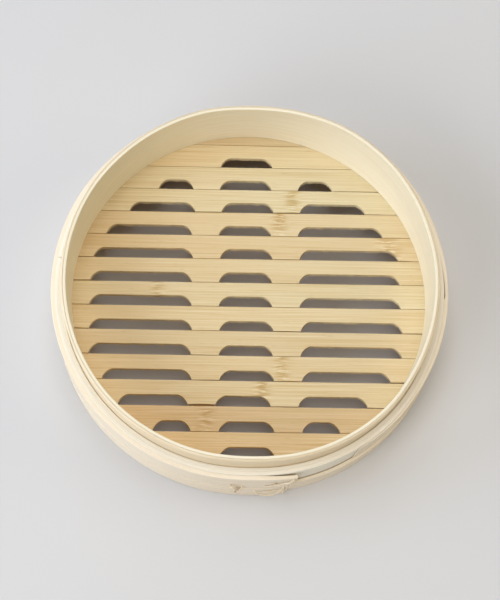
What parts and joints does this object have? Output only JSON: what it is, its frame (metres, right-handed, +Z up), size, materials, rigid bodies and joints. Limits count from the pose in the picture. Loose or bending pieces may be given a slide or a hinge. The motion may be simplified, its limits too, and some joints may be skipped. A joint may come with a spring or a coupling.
{
  "type": "bamboo steamer basket",
  "caption": "Round stacking bamboo steamer tier with two-ply nested hoops, laced outer bands and a slatted floor with rounded steam slots, without a lid.",
  "frame": {"origin": "centre of the base, on the surface the basket stands on", "axes": "+Z up through the open top; the slats run along X; the laced front of the bands faces -Y"},
  "size_m": [0.3076, 0.3084, 0.076],
  "materials": {
    "hoop_bamboo": "sanded bare bamboo",
    "band_bamboo": "sanded bare bamboo, greyer outside skin",
    "slat_bamboo": "planed bamboo with straight fibres",
    "bar_bamboo": "sawn bamboo",
    "peg_bamboo": "split bamboo",
    "lacing_peel": "flat bamboo peel"
  },
  "bodies": {
    "root": {"inner_hoop_inner_ply": "hoop_bamboo", "inner_hoop_outer_ply": "hoop_bamboo", "outer_hoop_inner_ply": "hoop_bamboo", "outer_hoop_outer_ply": "hoop_bamboo", "lower_band": "band_bamboo", "upper_band": "band_bamboo", "back_edge_slat": "slat_bamboo", "front_edge_slat": "slat_bamboo", "floor_slat_01": "slat_bamboo", "floor_slat_02": "slat_bamboo", "floor_slat_03": "slat_bamboo", "floor_slat_04": "slat_bamboo", "floor_slat_05": "slat_bamboo", "floor_slat_06": "slat_bamboo", "floor_slat_07": "slat_bamboo", "floor_slat_08": "slat_bamboo", "floor_slat_09": "slat_bamboo", "floor_slat_10": "slat_bamboo", "floor_slat_11": "slat_bamboo", "floor_slat_12": "slat_bamboo", "floor_slat_13": "slat_bamboo", "support_bar_left": "bar_bamboo", "support_bar_right": "bar_bamboo", "bar_pegs": "peg_bamboo", "lacing_left": "lacing_peel", "lacing_right_upper": "lacing_peel", "lacing_right_lower": "lacing_peel"}
  },
  "joints": []
}
